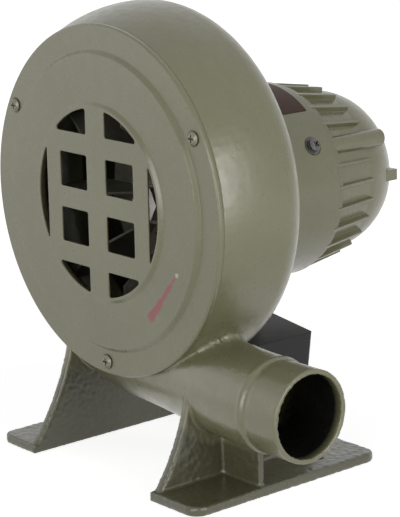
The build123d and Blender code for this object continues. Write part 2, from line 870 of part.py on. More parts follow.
# Switch box


def box_floor():
    return box_top - box_height


def post_centres():
    inset = box_wall + post_size / 2 - 0.5
    left, right = box_left + inset, box_right - inset
    front, rear = box_front + inset, box_rear - inset
    return [(x, y) for x in (left, right) for y in (front, rear)]


def upright(radius, x, y, low, high):
    """A round bar along the box's own height."""
    return Pos(x, y, low) * Cylinder(radius, high - low, align=(Align.CENTER, Align.CENTER, Align.MIN))


switch_x = box_left + 22.0
switch_z = box_top - 20.0
gland_x = box_right - 20.0
gland_z = box_top - 22.0


def switch_hole(grow):
    width = rocker_width + 3.0 + 2 * grow
    height = 2 * rocker_radius + 3.0 + 2 * grow
    return block((switch_x - width / 2, switch_x + width / 2), (box_rear - 5, box_rear + 5),
                 (switch_z - height / 2, switch_z + height / 2))


def make_box_base():
    """The box's tray, open below: its top is screwed to the motor's neck."""
    low = box_floor() + box_wall
    outer = block((box_left, box_right), (box_front, box_rear), (low, box_top))
    outer = fillet(outer.edges().filter_by(Axis.Z), box_corner)
    inner = block((box_left + box_wall, box_right - box_wall), (box_front + box_wall, box_rear - box_wall),
                  (low - 1, box_top - box_wall))
    base = outer - inner
    for x, y in post_centres():
        post = block((x - post_size / 2, x + post_size / 2),
                     (y - post_size / 2, y + post_size / 2), (low, box_top - 1))
        base += post & outer
        base -= upright(1.5, x, y, low - 1, low + 10)
    for x, y in neck_screw_places():
        base -= upright(screw_radius + fit_gap, x, y, box_top - 5, box_top + 1)
    base -= upright(lead_hole_radius, (neck_left + neck_right) / 2, lead_hole_y, box_top - 5, box_top + 1)
    base -= switch_hole(slip_gap / 2)
    base -= rod(gland_thread_radius + fit_gap, box_rear - 5, box_rear + 5, gland_x, gland_z)
    return in_box_frame(base)


def make_box_lid():
    low = box_floor()
    plate = block((box_left, box_right), (box_front, box_rear), (low, low + box_wall))
    plate = fillet(plate.edges().filter_by(Axis.Z), box_corner)
    for x, y in post_centres():
        plate -= upright(1.6, x, y, low - 1, low + box_wall + 1)
    return in_box_frame(plate)


def make_lid_screws():
    low = box_floor()
    screws = []
    for x, y in post_centres():
        head = upright(2.8, x, y, low - 1.6, low)
        shank = upright(1.5, x, y, low, low + box_wall + 9)
        screws.append(in_box_frame(head + shank))
    return screws


def make_neck_screws():
    seat = box_top - box_wall
    screws = []
    for x, y in neck_screw_places():
        head = upright(head_radius, x, y, seat - head_height, seat)
        shank = upright(screw_radius, x, y, seat, seat + box_wall + thread_depth - 1)
        screws.append(in_box_frame(head + shank))
    return screws


capacitor_y = box_front + box_wall + capacitor_radius + 2.0
capacitor_z = box_floor() + box_wall + capacitor_radius + 0.4
capacitor_x = (box_left + box_right) / 2


def lengthwise(radius, start, end, y, z):
    """A round bar along the box's own width."""
    plane = Plane(origin=(start, y, z), z_dir=(1, 0, 0))
    return plane * Cylinder(radius, end - start, align=(Align.CENTER, Align.CENTER, Align.MIN))


def make_capacitor():
    start = capacitor_x - capacitor_length / 2
    can = lengthwise(capacitor_radius, start, start + capacitor_length, capacitor_y, capacitor_z)
    return in_box_frame(can)


def make_capacitor_clamp():
    """A strap round the capacitor, standing on the lid."""
    strap = lengthwise(capacitor_radius + 1.0, capacitor_x - 5, capacitor_x + 5, capacitor_y, capacitor_z)
    foot_block = block((capacitor_x - 5, capacitor_x + 5),
                       (capacitor_y - capacitor_radius - 1, capacitor_y + capacitor_radius + 1),
                       (box_floor() + box_wall, capacitor_z))
    above_lid = block((capacitor_x - 6, capacitor_x + 6), (box_front, box_rear),
                      (box_floor() + box_wall, box_top))
    clamp = (strap + foot_block) & above_lid
    clamp -= lengthwise(capacitor_radius, capacitor_x - 7, capacitor_x + 7, capacitor_y, capacitor_z)
    return in_box_frame(clamp)


def make_terminal_block():
    """A three-way terminal strip on the lid."""
    x_start = capacitor_x - 4
    y_start = capacitor_y + capacitor_radius + 3.0
    low = box_floor() + box_wall
    length = strip_ways * strip_pitch
    strip = block((x_start, x_start + length), (y_start, y_start + strip_size), (low, low + strip_size))
    for k in range(strip_ways):
        x = x_start + strip_pitch * (k + 0.5)
        strip -= upright(strip_well_radius, x, y_start + strip_size / 2, low + strip_size / 2, low + strip_size + 1)
    return in_box_frame(strip)


def pivot_y():
    return box_rear - 1.0


def make_switch_body():
    """The switch's frame: a bezel outside the wall, a well for the rocker and pivot holes."""
    width = rocker_width + 3.0
    height = 2 * rocker_radius + 3.0
    well_floor = pivot_y() - 6.0
    body = block((switch_x - width / 2, switch_x + width / 2), (well_floor - 3, box_rear),
                 (switch_z - height / 2, switch_z + height / 2))
    bezel = block((switch_x - width / 2 - bezel_lip, switch_x + width / 2 + bezel_lip),
                  (box_rear, box_rear + bezel_thickness),
                  (switch_z - height / 2 - bezel_lip, switch_z + height / 2 + bezel_lip))
    well = block((switch_x - rocker_width / 2 - slip_gap, switch_x + rocker_width / 2 + slip_gap),
                 (well_floor, box_rear + 5),
                 (switch_z - rocker_radius - slip_gap, switch_z + rocker_radius + slip_gap))
    body = body + bezel - well
    body -= lengthwise(1.0 + fit_gap, switch_x - width, switch_x + width, pivot_y(), switch_z)
    for offset in (-5.0, 0.0, 5.0):
        body += block((switch_x - 2.4, switch_x + 2.4), (well_floor - 10, well_floor - 2),
                      (switch_z + offset - 0.4, switch_z + offset + 0.4))
    return in_box_frame(body)


def make_switch_rocker():
    """The rocker, drawn level and then tipped to its off side."""
    outline = Polyline((-12, -3), (-12, 5.6), (0, 2.6), (12, 5.6), (12, -3), close=True)
    profile = Circle(rocker_radius) & make_face(outline)
    side_face = (switch_x + rocker_width / 2, pivot_y(), switch_z)
    plane = Plane(origin=side_face, x_dir=(0, 0, 1), z_dir=(-1, 0, 0))
    rocker = extrude(plane * profile, rocker_width)
    pin_reach = rocker_width / 2 + 1.2
    rocker += lengthwise(1.0, switch_x - pin_reach, switch_x + pin_reach, pivot_y(), switch_z)
    rocker = rocker.rotate(Axis((0, pivot_y(), switch_z), (1, 0, 0)), rocker_swing)
    return in_box_frame(rocker)


def make_cable_gland():
    """The inlet for the mains lead: a threaded sleeve with a hexagon outside."""
    plane = Plane(origin=(gland_x, box_rear, gland_z), x_dir=(1, 0, 0), z_dir=(0, 1, 0))
    hexagon = extrude(plane * RegularPolygon(7.5, 6, major_radius=False), 4.0)
    nose = rod(6.0, box_rear + 4, box_rear + 10, gland_x, gland_z)
    sleeve = rod(gland_thread_radius, box_rear - box_wall - 5, box_rear, gland_x, gland_z)
    bore = rod(gland_bore_radius, box_rear - box_wall - 6, box_rear + 11, gland_x, gland_z)
    return in_box_frame(hexagon + nose + sleeve - bore)


def make_gland_nut():
    end = box_rear - box_wall
    plane = Plane(origin=(gland_x, end - 3, gland_z), x_dir=(1, 0, 0), z_dir=(0, 1, 0))
    nut = extrude(plane * RegularPolygon(7.0, 6, major_radius=False), 3.0)
    return in_box_frame(nut - rod(gland_thread_radius, end - 4, end + 1, gland_x, gland_z))


def make_motor_leads():
    """Three wires from the front end turns down through the neck into the box."""
    middle = (neck_left + neck_right) / 2
    leads = []
    for k in (-1, 0, 1):
        x = middle + lead_spacing * k
        leads.append(in_box_frame(upright(lead_radius, x, lead_hole_y, box_top - lead_tail, -coil_outer)))
    return leads


def build_all():
    return {
        "volute_housing": make_volute_housing(),
        "front_cover": make_front_cover(),
        "cover_screws": make_cover_screws(),
        "motor_shell": make_motor_shell(),
        "shell_screws": make_shell_screws(),
        "side_washers": make_side_washers(),
        "side_screw": make_side_screw(),
        "nameplate": make_nameplate(),
        "stator_core": make_stator_core(),
        "stator_windings": make_stator_windings(),
        "rotor_core": make_rotor_core(),
        "shaft": make_shaft(),
        "front_bearing_outer": bearing_outer(front_bearing_y),
        "front_bearing_inner": bearing_inner(front_bearing_y),
        "front_bearing_balls": bearing_balls(front_bearing_y),
        "rear_bearing_outer": bearing_outer(rear_bearing_y),
        "rear_bearing_inner": bearing_inner(rear_bearing_y),
        "rear_bearing_balls": bearing_balls(rear_bearing_y),
        "wave_washer": make_wave_washer(),
        "end_bell": make_end_bell(),
        "bell_screws": make_bell_screws(),
        "impeller_hub": make_impeller_hub(),
        "impeller_plate": make_impeller_plate(),
        "impeller_blades": make_impeller_blades(),
        "impeller_rivets": make_impeller_rivets(),
        "impeller_washer": make_impeller_washer(),
        "impeller_nut": make_impeller_nut(),
        "switch_box_base": make_box_base(),
        "switch_box_lid": make_box_lid(),
        "lid_screws": make_lid_screws(),
        "neck_screws": make_neck_screws(),
        "capacitor": make_capacitor(),
        "capacitor_clamp": make_capacitor_clamp(),
        "terminal_block": make_terminal_block(),
        "switch_body": make_switch_body(),
        "switch_rocker": make_switch_rocker(),
        "cable_gland": make_cable_gland(),
        "gland_nut": make_gland_nut(),
        "motor_leads": make_motor_leads(),
    }


def solids_of(piece):
    """All the separate solids of a piece or of a list of pieces."""
    pieces = piece if isinstance(piece, list) else [piece]
    return [solid for each in pieces for solid in each.solids()]


nodes = {name: Compound(solids_of(piece)) for name, piece in build_all().items()}
boxes = [part.bounding_box() for part in nodes.values()]
low_x, high_x = min(box.min.X for box in boxes), max(box.max.X for box in boxes)
low_y, high_y = min(box.min.Y for box in boxes), max(box.max.Y for box in boxes)
shift = Pos(-(low_x + high_x) / 2, -(low_y + high_y) / 2, -min(box.min.Z for box in boxes))
os.makedirs("parts", exist_ok=True)
for name, part in nodes.items():
    export_step(shift * part, f"parts/{name}.step")
print("origin moved by", [round(value, 4) for value in shift.position])
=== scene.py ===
import math
import bpy
from mathutils import Matrix, Vector, noise


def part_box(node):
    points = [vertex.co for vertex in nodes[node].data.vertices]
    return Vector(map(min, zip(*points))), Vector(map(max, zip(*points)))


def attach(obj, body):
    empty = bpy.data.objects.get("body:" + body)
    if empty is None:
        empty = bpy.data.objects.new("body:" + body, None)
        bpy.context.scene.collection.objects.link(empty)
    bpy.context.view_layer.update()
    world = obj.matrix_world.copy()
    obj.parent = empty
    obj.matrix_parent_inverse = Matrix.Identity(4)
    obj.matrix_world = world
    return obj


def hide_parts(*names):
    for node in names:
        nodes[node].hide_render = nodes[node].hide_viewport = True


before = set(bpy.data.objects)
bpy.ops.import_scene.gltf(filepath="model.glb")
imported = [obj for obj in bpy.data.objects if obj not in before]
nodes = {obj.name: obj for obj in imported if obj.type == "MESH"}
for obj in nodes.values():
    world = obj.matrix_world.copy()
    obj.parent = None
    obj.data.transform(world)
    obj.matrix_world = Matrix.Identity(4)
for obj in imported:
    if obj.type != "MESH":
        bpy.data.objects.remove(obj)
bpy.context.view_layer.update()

scene = bpy.context.scene

# The cover's centre line gives the place of everything that was measured on the photograph.
cover_low, cover_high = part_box("front_cover")
cover_centre = (cover_low + cover_high) / 2
cover_centre.y = cover_low.y


# Camera

def set_camera():
    """The photograph's viewpoint: turned round to the outlet side, a little above, slightly rolled."""
    turn = math.radians(49.845)
    rise = math.radians(13.704)
    roll = math.radians(-1.2445)
    distance = 1.06311
    target = cover_centre + Vector((0.0834, 0.004, -0.01779))
    level = math.cos(rise)
    back = Vector((math.sin(turn) * level, -math.cos(turn) * level, math.sin(rise)))
    right = Vector((math.cos(turn), math.sin(turn), 0.0))
    up = back.cross(right)
    rolled_right = math.cos(roll) * right + math.sin(roll) * up
    rolled_up = -math.sin(roll) * right + math.cos(roll) * up
    camera = bpy.data.objects.new("camera", bpy.data.cameras.new("camera"))
    scene.collection.objects.link(camera)
    camera.data.lens = 139.64
    camera.data.sensor_width = 36.0
    camera.data.clip_start = 0.01
    axes = Matrix((rolled_right, rolled_up, back)).transposed()
    camera.matrix_world = Matrix.Translation(target + back * distance) @ axes.to_4x4()
    scene.camera = camera


# Lights, floor and background

ambient = 0.16
near_glow = 0.78
glow_distances = (0.2, 0.9)
paper_reach = 6.0
paper_drop = 0.0004


def area_light(name, place, aim, size, power, tint=(1.0, 1.0, 1.0)):
    data = bpy.data.lights.new(name, "AREA")
    data.shape = "RECTANGLE"
    data.size, data.size_y = size
    data.energy = power
    data.color = tint
    lamp = bpy.data.objects.new(name, data)
    scene.collection.objects.link(lamp)
    lamp.location = place
    lamp.rotation_euler = (Vector(aim) - Vector(place)).to_track_quat("-Z", "Y").to_euler()


def sees_background(tree):
    """1 for the rays that show the background: the camera's, and those of gloss and of glass."""
    path = tree.nodes.new("ShaderNodeLightPath")
    seen = path.outputs["Is Camera Ray"]
    for name in ("Is Glossy Ray", "Is Transmission Ray"):
        either = tree.nodes.new("ShaderNodeMath")
        either.operation = "MAXIMUM"
        tree.links.new(seen, either.inputs[0])
        tree.links.new(path.outputs[name], either.inputs[1])
        seen = either.outputs[0]
    return seen


def set_world():
    """A weak even light all round, which the camera and reflections see as white."""
    world = bpy.data.worlds.new("studio")
    scene.world = world
    world.use_nodes = True
    tree = world.node_tree
    tree.nodes.clear()
    out = tree.nodes.new("ShaderNodeOutputWorld")
    light = tree.nodes.new("ShaderNodeBackground")
    light.inputs["Color"].default_value = (0.95, 0.97, 1.0, 1.0)
    light.inputs["Strength"].default_value = ambient
    white = tree.nodes.new("ShaderNodeBackground")
    white.inputs["Color"].default_value = (1.0, 1.0, 1.0, 1.0)
    white.inputs["Strength"].default_value = 1.0
    mix = tree.nodes.new("ShaderNodeMixShader")
    tree.links.new(sees_background(tree), mix.inputs[0])
    tree.links.new(light.outputs[0], mix.inputs[1])
    tree.links.new(white.outputs[0], mix.inputs[2])
    tree.links.new(mix.outputs[0], out.inputs[0])


def set_floor():
    """White paper: what the camera sees of it glows up to white, and the object's shadow stays."""
    mesh = bpy.data.meshes.new("floor")
    r = paper_reach
    corners = [(-r, -r, 0), (r, -r, 0), (r, r, 0), (-r, r, 0)]
    mesh.from_pydata(corners, [], [(0, 1, 2, 3)])
    floor = bpy.data.objects.new("floor", mesh)
    scene.collection.objects.link(floor)
    floor.location.z = -paper_drop
    material = bpy.data.materials.new("floor_paper")
    material.use_nodes = True
    tree = material.node_tree
    paper = tree.nodes["Principled BSDF"]
    paper.inputs["Base Color"].default_value = (0.8, 0.8, 0.8, 1.0)
    paper.inputs["Roughness"].default_value = 0.9
    paper.inputs["Specular IOR Level"].default_value = 0.0
    coords = tree.nodes.new("ShaderNodeTexCoord")
    distance = tree.nodes.new("ShaderNodeVectorMath")
    distance.operation = "LENGTH"
    tree.links.new(coords.outputs["Object"], distance.inputs[0])
    glow_level = tree.nodes.new("ShaderNodeMapRange")
    for name, value in zip(("From Min", "From Max", "To Min", "To Max"),
                           (*glow_distances, near_glow, 1.0)):
        glow_level.inputs[name].default_value = value
    tree.links.new(distance.outputs["Value"], glow_level.inputs["Value"])
    strength = tree.nodes.new("ShaderNodeMath")
    strength.operation = "MULTIPLY"
    tree.links.new(sees_background(tree), strength.inputs[0])
    tree.links.new(glow_level.outputs["Result"], strength.inputs[1])
    glow = tree.nodes.new("ShaderNodeEmission")
    tree.links.new(strength.outputs[0], glow.inputs["Strength"])
    both = tree.nodes.new("ShaderNodeAddShader")
    tree.links.new(paper.outputs[0], both.inputs[0])
    tree.links.new(glow.outputs[0], both.inputs[1])
    tree.links.new(both.outputs[0], tree.nodes["Material Output"].inputs["Surface"])
    mesh.materials.append(material)


def set_lights():
    centre = Vector((0.0, 0.0, 0.14))
    area_light("key", (0.7, -1.75, 0.55), centre, (1.2, 1.0), 15.0, (1.0, 0.99, 0.97))
    area_light("side", (1.85, 0.15, 0.38), centre, (0.8, 1.6), 22.0)
    area_light("fill", (-1.5, -1.1, 0.6), centre, (1.2, 1.2), 3.0, (0.97, 0.98, 1.0))


# Materials

class Shader:
    """A small wrapper that keeps a material's node code short."""

    def __init__(self, name):
        self.material = bpy.data.materials.new(name)
        self.material.use_nodes = True
        self.tree = self.material.node_tree
        self.shader = self.tree.nodes["Principled BSDF"]
        self.coords = self.tree.nodes.new("ShaderNodeTexCoord").outputs["Object"]

    def set(self, **values):
        for name, value in values.items():
            self.shader.inputs[name.replace("_", " ")].default_value = value
        return self

    def node(self, kind, **settings):
        made = self.tree.nodes.new(kind)
        for name, value in settings.items():
            setattr(made, name, value)
        return made

    def link(self, output, socket):
        self.tree.links.new(output, socket)

    def noise(self, scale, detail=3.0, roughness=0.55, coords=None):
        made = self.node("ShaderNodeTexNoise")
        made.inputs["Scale"].default_value = scale
        made.inputs["Detail"].default_value = detail
        made.inputs["Roughness"].default_value = roughness
        self.link(coords or self.coords, made.inputs["Vector"])
        return made.outputs["Fac"]

    def spots(self, scale, coords=None):
        made = self.node("ShaderNodeTexVoronoi")
        made.inputs["Scale"].default_value = scale
        self.link(coords or self.coords, made.inputs["Vector"])
        return made.outputs["Distance"]

    def maths(self, operation, first, second=0.0, clamp=False):
        made = self.node("ShaderNodeMath", operation=operation, use_clamp=clamp)
        for socket, value in zip(made.inputs, (first, second)):
            if isinstance(value, (int, float)):
                socket.default_value = value
            else:
                self.link(value, socket)
        return made.outputs[0]

    def ramp(self, factor, stops):
        made = self.node("ShaderNodeValToRGB")
        band = made.color_ramp
        while len(band.elements) < len(stops):
            band.elements.new(0.5)
        for element, (place, colour) in zip(band.elements, stops):
            element.position = place
            element.color = (*colour, 1.0)
        self.link(factor, made.inputs["Fac"])
        return made.outputs["Color"]

    def span(self, value, low, high, out_low=0.0, out_high=1.0):
        made = self.node("ShaderNodeMapRange")
        made.inputs["From Min"].default_value = low
        made.inputs["From Max"].default_value = high
        made.inputs["To Min"].default_value = out_low
        made.inputs["To Max"].default_value = out_high
        self.link(value, made.inputs["Value"])
        return made.outputs["Result"]

    def mixed(self, factor, first, second, blend="MIX"):
        made = self.node("ShaderNodeMix", data_type="RGBA", blend_type=blend)
        sockets = made.inputs["Factor"], made.inputs[6], made.inputs[7]
        for socket, value in zip(sockets, (factor, first, second)):
            if isinstance(value, (int, float)):
                socket.default_value = value
            elif isinstance(value, tuple):
                socket.default_value = (*value, 1.0)
            else:
                self.link(value, socket)
        return made.outputs[2]

    def bump(self, height, strength, distance, normal=None):
        made = self.node("ShaderNodeBump")
        made.inputs["Strength"].default_value = strength
        made.inputs["Distance"].default_value = distance
        self.link(height, made.inputs["Height"])
        if normal is not None:
            self.link(normal, made.inputs["Normal"])
        return made.outputs["Normal"]

    def length(self, first, second):
        squares = [self.maths("MULTIPLY", value, value) for value in (first, second)]
        return self.maths("SQRT", self.maths("ADD", *squares))

    def soft_edges(self, radius):
        made = self.node("ShaderNodeBevel", samples=6)
        made.inputs["Radius"].default_value = radius
        return made.outputs["Normal"]

    def colour(self, output):
        self.link(output, self.shader.inputs["Base Color"])

    def rough(self, output):
        self.link(output, self.shader.inputs["Roughness"])

    def normal(self, output):
        self.link(output, self.shader.inputs["Normal"])


# Casting: sizes that its box doesn't give, in millimetres right of, behind and above the centre
# of the seat on which the cover lies.

scroll_depth = 62.0
scroll_reach = (101.0, 121.0)
scroll_turn = (-62.0, 270.0)
scroll_growth = 1.15
rim_reach = 99.7
shoulder = 20.0
duct_radius = (31.0, 26.6)
duct_height = (-90.0, -96.0)
duct_sideways = (31.0, 17.5)
duct_end = 120.0
duct_narrowing = 5.0
mouth_end = 146.0
seam_fillet = 3.0
seam_start = 52.0
seam_bottom = -100.0

# The box of the crotch, where points are moved in, and how exactly.
crotch_low = Vector((55.0, -1.0, -100.0))
crotch_high = Vector((97.0, 63.0, -35.0))
crotch_play = 0.15
settled_play = 0.05
slope_step = 0.05

# The casting's skin, in millimetres: heights and sizes of its lumps, and of bead, ring and groove.
skin_lumps = (0.06, 6.0)
foot_lumps = (0.28, 2.0)
foot_top = -64.0
foot_left, foot_right = -35.0, 65.0
bead_height, bead_width = 0.55, 1.6
bead_lumps = (0.5, 1.8)
ring_height, ring_place, ring_width = 0.35, -2.2, 1.0
groove_depth, groove_place, groove_width = 0.30, 2.6, 0.8
collar_reach = 8.0
lip_length = 4.0
lip_lumps = (0.22, 2.6)

# In metres: the casting's even grid, and the cover's grille and sheet.
casting_grid = 0.001
grille_reach = 0.0539
sheet_thickness = 0.001

# Marks in millimetres from the cover's centre: the streak right and up, the outlet's axis back and up.
streak_start = (65.9, -30.6)
streak_end = (42.5, -59.2)
streak_width = 2.9
outlet_axis = (24.5, -96.0)
bore_radius = 23.6
drum_radius = 97.0
drum_back = 66.5


def above_scroll(x, y, z):
    """How far a point near the crotch lies outside the scroll's wall."""
    angle = math.degrees(math.atan2(z, x))
    share = max(angle - scroll_turn[0], 0.0) / (scroll_turn[1] - scroll_turn[0])
    reach = scroll_reach[0] + (scroll_reach[1] - scroll_reach[0]) * share ** scroll_growth
    widest = scroll_depth - shoulder
    if y > widest:
        wall = reach - shoulder + math.sqrt(max(shoulder ** 2 - (y - widest) ** 2, 0.0))
    else:
        drop = reach - rim_reach
        bow = (drop ** 2 + widest ** 2) / (2 * drop)
        wall = reach - bow + math.sqrt(bow ** 2 - (widest - max(y, 0.0)) ** 2)
    return math.hypot(x, z) - wall


def above_duct(x, y, z):
    """How far a point lies outside the duct, which narrows and turns forward to its collar."""
    place = min(max(x / duct_end, 0.0), 1.0)
    narrowing = 1 - (1 - place) ** duct_narrowing
    turning = place ** 2 * (3 - 2 * place)
    middle_y = duct_sideways[0] + (duct_sideways[1] - duct_sideways[0]) * turning
    middle_z = duct_height[0] + (duct_height[1] - duct_height[0]) * narrowing
    radius = duct_radius[0] + (duct_radius[1] - duct_radius[0]) * narrowing
    return math.hypot(y - middle_y, z - middle_z) - radius


def above_casting(place):
    """How far a point lies outside scroll and duct, which a small fillet joins."""
    scroll, duct = above_scroll(*place), above_duct(*place)
    overlap = max(seam_fillet - abs(scroll - duct), 0.0) / seam_fillet
    return min(scroll, duct) - overlap ** 2 * seam_fillet / 4


def in_crotch(place):
    return all(crotch_low[k] < place[k] < crotch_high[k] for k in range(3))


def settled(place):
    """A point of the crotch, moved in until it lies on scroll, duct or their fillet."""
    axes = Matrix.Identity(3)
    for _ in range(4):
        height = above_casting(place)
        if height < settled_play:
            break
        slope = Vector([above_casting(place + slope_step * axis) - height for axis in axes])
        place = place - slope.normalized() * height
    return place


def unevenness(place, size):
    """A sand casting's skin, from about -1 to 1, with lumps of a size in millimetres."""
    small = place * 2.3 / size + Vector((7, 3, 5))
    return noise.noise(place / size) + 0.5 * noise.noise(small)


def bell_curve(distance, width):
    return math.exp(-(distance / width) ** 2)


def skin_height(place):
    """How far the casting's skin stands out: its lumps, the seam's bead, the collar's ring."""
    def lumps(height, size):
        return height * unevenness(place, size)

    x, y, z = place
    height = lumps(*skin_lumps)
    duct = above_duct(x, y, z)
    beside = x < foot_left or x > foot_right
    if z < foot_top and abs(duct) > 1.5 and beside and above_scroll(x, y, z) > 2.0:
        height += lumps(*foot_lumps)
    if x > seam_start and z > seam_bottom and y < scroll_depth:
        near = bell_curve(above_scroll(x, y, z), bead_width) * bell_curve(duct, bead_width)
        height += near * (bead_height + lumps(*bead_lumps))
    if abs(duct) < 3.0 and x > duct_end - collar_reach:
        height += ring_height * bell_curve(x - duct_end - ring_place, ring_width)
        height -= groove_depth * bell_curve(x - duct_end - groove_place, groove_width)
    if x > mouth_end - lip_length:
        height += lumps(*lip_lumps) * (1 - (mouth_end - x) / lip_length)
    return height


def even_copy(source):
    """A copy of an object's mesh with evenly spaced points that lie on its surface."""
    block = bpy.data.objects.new("casting_block", source.data.copy())
    scene.collection.objects.link(block)
    grid = block.modifiers.new("grid", "REMESH")
    grid.mode = "VOXEL"
    grid.voxel_size = casting_grid
    wrap = block.modifiers.new("wrap", "SHRINKWRAP")
    wrap.target = source
    graph = bpy.context.evaluated_depsgraph_get()
    mesh = bpy.data.meshes.new_from_object(block.evaluated_get(graph))
    bpy.data.objects.remove(block)
    return mesh


def make_casting():
    """The scroll, duct and feet with the skin, seam and mouth of a sand casting."""
    low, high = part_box("volute_housing")
    mesh = even_copy(nodes["volute_housing"])
    seat = Vector((cover_centre.x, cover_high.y, cover_centre.z))
    normals = [vertex.normal.copy() for vertex in mesh.vertices]
    for vertex, normal in zip(mesh.vertices, normals):
        place = (vertex.co - seat) * 1000
        if in_crotch(place) and above_casting(place) > crotch_play:
            place = settled(place)
        place += normal * skin_height(place)
        point = seat + place / 1000
        vertex.co = [min(max(point[k], low[k]), high[k]) for k in range(3)]
    for polygon in mesh.polygons:
        polygon.use_smooth = True
    mesh.name = "volute_casting"
    mesh.materials.clear()
    piece = bpy.data.objects.new("volute_casting", mesh)
    scene.collection.objects.link(piece)
    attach(piece, "frame")
    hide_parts("volute_housing")
    return piece


def make_thin_cover():
    """The cover as the pressed sheet that the photograph shows: thin round its windows."""
    back = cover_low.y + sheet_thickness
    mesh = nodes["front_cover"].data.copy()
    mesh.name = "cover_sheet"
    for vertex in mesh.vertices:
        reach = math.hypot(vertex.co.x - cover_centre.x, vertex.co.z - cover_centre.z)
        if reach < grille_reach and vertex.co.y > back:
            vertex.co.y = back
    mesh.materials.clear()
    piece = bpy.data.objects.new("cover_sheet", mesh)
    scene.collection.objects.link(piece)
    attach(piece, "frame")
    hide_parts("front_cover")
    return piece


def enamel(name, coarse, gloss=0.30, marks_and_painted_shade=None):
    """Olive-grey stove enamel: slow mottling, pinholes, and the casting's grain below the gloss."""
    s = Shader(name)
    slow = s.noise(14.0, 3.0)
    fine = s.noise(160.0, 4.0, 0.6)
    mottled = s.ramp(slow, [(0.3, enamel_dark), (0.7, enamel_light)])
    pits = s.span(s.spots(260.0), 0.0, 0.22)
    dusty = s.mixed(s.span(fine, 0.35, 0.65, 0.0, 0.35), mottled, enamel_dusty)
    # Extra colour goes on top here: the cover's real red streak, and painted shade on the housing.
    s.colour(marks_and_painted_shade(s, dusty) if marks_and_painted_shade else dusty)
    s.rough(s.span(fine, 0.3, 0.7, gloss - 0.05, gloss + 0.09))
    sand = s.maths("MULTIPLY", s.noise(220.0, 3.0, 0.6), 0.6)
    grain = s.maths("ADD", sand, s.maths("MULTIPLY", slow, 0.4))
    grained = s.bump(grain, coarse, 0.0009, s.soft_edges(0.0012))
    s.normal(s.bump(pits, coarse * 0.3, 0.0002, grained))
    s.set(Coat_Weight=0.4, Coat_Roughness=0.26, Specular_IOR_Level=0.5)
    return s


def from_centre(s):
    """Millimetres right of, behind and above the cover's centre, as three values."""
    shifted = s.node("ShaderNodeVectorMath", operation="SUBTRACT")
    s.link(s.coords, shifted.inputs[0])
    shifted.inputs[1].default_value = cover_centre
    scaled = s.node("ShaderNodeVectorMath", operation="SCALE")
    s.link(shifted.outputs[0], scaled.inputs[0])
    scaled.inputs["Scale"].default_value = 1000.0
    split = s.node("ShaderNodeSeparateXYZ")
    s.link(scaled.outputs[0], split.inputs[0])
    return split.outputs


def red_streak(s, paint):
    """A brushed red mark on the cover, thin above and wider below, with a pale chip at its top."""
    right, back, up = from_centre(s)
    run = Vector(streak_end) - Vector(streak_start)
    length, way = run.length, run.normalized()
    x = s.maths("SUBTRACT", right, streak_start[0])
    z = s.maths("SUBTRACT", up, streak_start[1])
    along = s.maths("ADD", s.maths("MULTIPLY", x, way[0]), s.maths("MULTIPLY", z, way[1]))
    beside = s.maths("SUBTRACT", s.maths("MULTIPLY", x, way[1]), s.maths("MULTIPLY", z, way[0]))
    across = s.maths("ABSOLUTE", beside)
    wavy = s.maths("ADD", across, s.span(s.noise(350.0, 3.0), 0.3, 0.7, -0.7, 0.7))
    width = s.span(along, 0.0, length, 0.5, streak_width)
    inside = s.span(s.maths("SUBTRACT", width, wavy), -0.3, 0.4)
    ends = s.maths("MULTIPLY", s.span(along, -1.0, 1.0), s.span(along, length + 1.0, length - 1.0))
    streak = s.maths("MULTIPLY", s.maths("MULTIPLY", inside, ends), 0.92)
    painted = s.mixed(streak, paint, streak_red)
    chip = s.maths("ADD", s.maths("ABSOLUTE", s.maths("ADD", along, 1.0)), across)
    return s.mixed(s.span(chip, 2.0, 1.2), painted, chip_pale)


def paint_inner_and_low_shade(s, paint):
    """Painted shade: the insides of duct and drum are painted near black, and the low feet and webs are
    painted darker.
    """
    right, back, up = from_centre(s)
    reach = s.length(s.maths("SUBTRACT", back, outlet_axis[0]), s.maths("SUBTRACT", up, outlet_axis[1]))
    in_bore = s.maths("MULTIPLY", s.span(reach, bore_radius + 0.3, bore_radius - 0.3),
                      s.span(right, mouth_end - 1.0, mouth_end - 6.0))
    # Painted shade: the outlet bore, deep behind its mouth, is painted near black.
    bore_shaded = s.mixed(s.maths("MULTIPLY", in_bore, s.span(right, 87.0, 93.0)), paint, bore_painted_shade)
    # Painted shade: the low feet and webs beside the duct are painted darker.
    beside = s.maths("MAXIMUM", s.span(reach, 30.0, 33.0), s.span(right, 10.0, 0.0))
    foot = s.maths("MULTIPLY", s.span(up, -96.0, -112.0), beside)
    feet_shaded = s.mixed(s.maths("MULTIPLY", foot, 0.75), bore_shaded, foot_painted_shade)
    # Painted shade: the drum's inside, seen through the grille, is painted near black.
    in_drum = s.maths("MULTIPLY", s.span(s.length(right, up), drum_radius + 1.0, drum_radius - 0.5),
                      s.span(back, drum_back + 1.0, drum_back - 0.5))
    return s.mixed(in_drum, feet_shaded, drum_painted_shade)


def metal(name, low, high, rough, scale=400.0):
    """Bare or plated metal with fine unevenness."""
    s = Shader(name)
    fine = s.noise(scale, 4.0, 0.6)
    s.colour(s.ramp(fine, [(0.3, low), (0.7, high)]))
    s.rough(s.span(fine, 0.3, 0.7, rough - 0.06, rough + 0.08))
    s.normal(s.bump(fine, 0.15, 0.0002, s.soft_edges(0.0003)))
    s.set(Metallic=1.0)
    return s


def painted_metal(name, low, high, rough, metallic):
    """Metal under dull plating, grime or enamel."""
    s = metal(name, low, high, rough, 250.0)
    s.set(Metallic=metallic)
    return s


